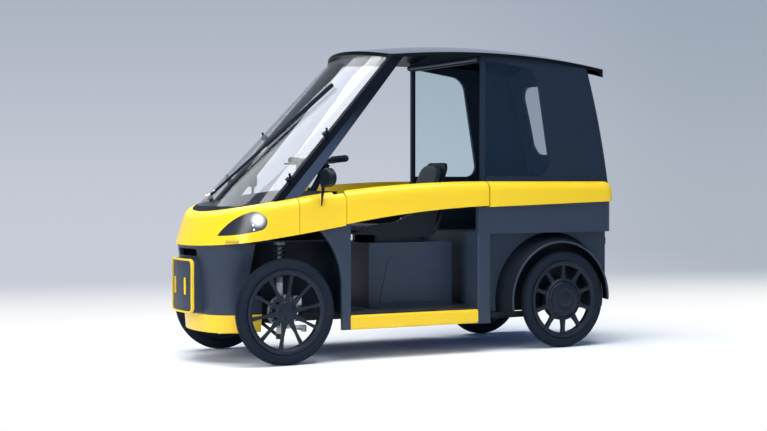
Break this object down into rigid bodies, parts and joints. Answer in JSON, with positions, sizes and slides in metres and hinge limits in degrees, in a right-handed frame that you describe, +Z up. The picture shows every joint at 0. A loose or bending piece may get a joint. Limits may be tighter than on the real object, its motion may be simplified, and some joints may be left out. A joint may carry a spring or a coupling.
{
  "type": "roofed four-wheel electric microcar",
  "caption": "Open-sided roofed electric microcar with a wrapped windscreen, waist band doors, single seat, handlebar steering and spoked bicycle-size wheels.",
  "frame": {"origin": "on the ground under the middle of the vehicle's box", "axes": "+X forwards, +Y to the vehicle's left, +Z up"},
  "size_m": [2.384, 1.086, 1.6179],
  "materials": {
    "yellow_panel": "glossy moulded bodywork",
    "slate_panel": "satin moulded panel",
    "black_trim": "satin black moulding",
    "clear_screen": "clear sheet",
    "tinted_pane": "tinted sheet",
    "lamp_lens": "smoked lens",
    "red_lens": "red lens",
    "seat_moulding": "black moulded shell",
    "seat_cover": "black padded cover",
    "floor_plate": "textured floor",
    "frame_tube": "black powder coat",
    "bare_metal": "machined",
    "rim_paint": "dark satin grey",
    "tyre_rubber": "black rubber"
  },
  "bodies": {
    "chassis": {"nose_cowl": "yellow_panel", "fender_bands": "yellow_panel", "rear_band": "yellow_panel", "nose_chin": "slate_panel", "front_lip": "yellow_panel", "hatch_trim": "yellow_panel", "front_hatch": "slate_panel", "headlamps": "lamp_lens", "screen_cowl": "black_trim", "windscreen": "clear_screen", "front_pillars": "black_trim", "roof_panel": "black_trim", "canopy_hoop": "black_trim", "canopy_sides": "black_trim", "canopy_back": "black_trim", "cabin_glass": "tinted_pane", "wiper": "black_trim", "mirrors": "black_trim", "fender_legs": "slate_panel", "arch_liners": "black_trim", "sills": "yellow_panel", "floor_pan": "floor_plate", "quarter_panels": "slate_panel", "tail_panel": "slate_panel", "tail_lamps": "red_lens", "mudguards": "black_trim", "rear_liners": "black_trim", "bulkhead": "slate_panel", "seat_shell": "seat_moulding", "seat_pad": "seat_cover", "seat_box": "slate_panel", "battery": "black_trim", "chassis_frame": "frame_tube", "suspension_arms": "frame_tube", "shocks": "bare_metal"},
    "door_left": {"door_bar_left": "yellow_panel"},
    "door_right": {"door_bar_right": "yellow_panel"},
    "knuckle_left": {"knuckle_left": "bare_metal"},
    "knuckle_right": {"knuckle_right": "bare_metal"},
    "tie_rod": {"tie_rod": "bare_metal"},
    "spindle": {"steering_spindle": "bare_metal"},
    "handlebar": {"handlebar": "black_trim"},
    "front_left_wheel": {"front_tyre_left": "tyre_rubber", "front_wheel_left": "rim_paint"},
    "front_right_wheel": {"front_tyre_right": "tyre_rubber", "front_wheel_right": "rim_paint"},
    "rear_left_wheel": {"rear_tyre_left": "tyre_rubber", "rear_wheel_left": "rim_paint"},
    "rear_right_wheel": {"rear_tyre_right": "tyre_rubber", "rear_wheel_right": "rim_paint"}
  },
  "joints": [
    {"name": "steering", "type": "hinge", "parent": "chassis", "child": "handlebar", "pos_m": [0.799, 0, 0.27], "axis": [-0.5145, 0, 0.8575], "range_deg": [-25, 25]},
    {"name": "spindle_turn", "type": "hinge", "parent": "chassis", "child": "spindle", "pos_m": [0.799, 0, 0.2], "axis": [0, 0, 1], "range_deg": [-25, 25]},
    {"name": "left_kingpin", "type": "hinge", "parent": "chassis", "child": "knuckle_left", "pos_m": [0.799, 0.345, 0.26], "axis": [0, 0, 1], "range_deg": [-25, 25]},
    {"name": "right_kingpin", "type": "hinge", "parent": "chassis", "child": "knuckle_right", "pos_m": [0.799, -0.345, 0.26], "axis": [0, 0, 1], "range_deg": [-25, 25]},
    {"name": "tie_rod_pivot", "type": "hinge", "parent": "knuckle_left", "child": "tie_rod", "pos_m": [0.669, 0.345, 0.16], "axis": [0, 0, 1], "range_deg": [-25, 25]},
    {"name": "front_left_spin", "type": "hinge", "parent": "knuckle_left", "child": "front_left_wheel", "pos_m": [0.799, 0.409, 0.26], "axis": [0, 1, 0], "continuous": true},
    {"name": "front_right_spin", "type": "hinge", "parent": "knuckle_right", "child": "front_right_wheel", "pos_m": [0.799, -0.409, 0.26], "axis": [0, 1, 0], "continuous": true},
    {"name": "rear_left_spin", "type": "hinge", "parent": "chassis", "child": "rear_left_wheel", "pos_m": [-0.841, 0.403, 0.26], "axis": [0, 1, 0], "continuous": true},
    {"name": "rear_right_spin", "type": "hinge", "parent": "chassis", "child": "rear_right_wheel", "pos_m": [-0.841, -0.403, 0.26], "axis": [0, 1, 0], "continuous": true},
    {"name": "left_door", "type": "hinge", "parent": "chassis", "child": "door_left", "pos_m": [0.455, 0.405, 0.75], "axis": [0, 0, -1], "range_deg": [0, 70]},
    {"name": "right_door", "type": "hinge", "parent": "chassis", "child": "door_right", "pos_m": [0.455, -0.405, 0.75], "axis": [0, 0, 1], "range_deg": [0, 70]}
  ],
  "couplings": [
    {"joint": "spindle_turn", "follows": "steering", "ratio": 1},
    {"joint": "left_kingpin", "follows": "steering", "ratio": 1},
    {"joint": "right_kingpin", "follows": "steering", "ratio": 1},
    {"joint": "tie_rod_pivot", "follows": "steering", "ratio": -1}
  ]
}
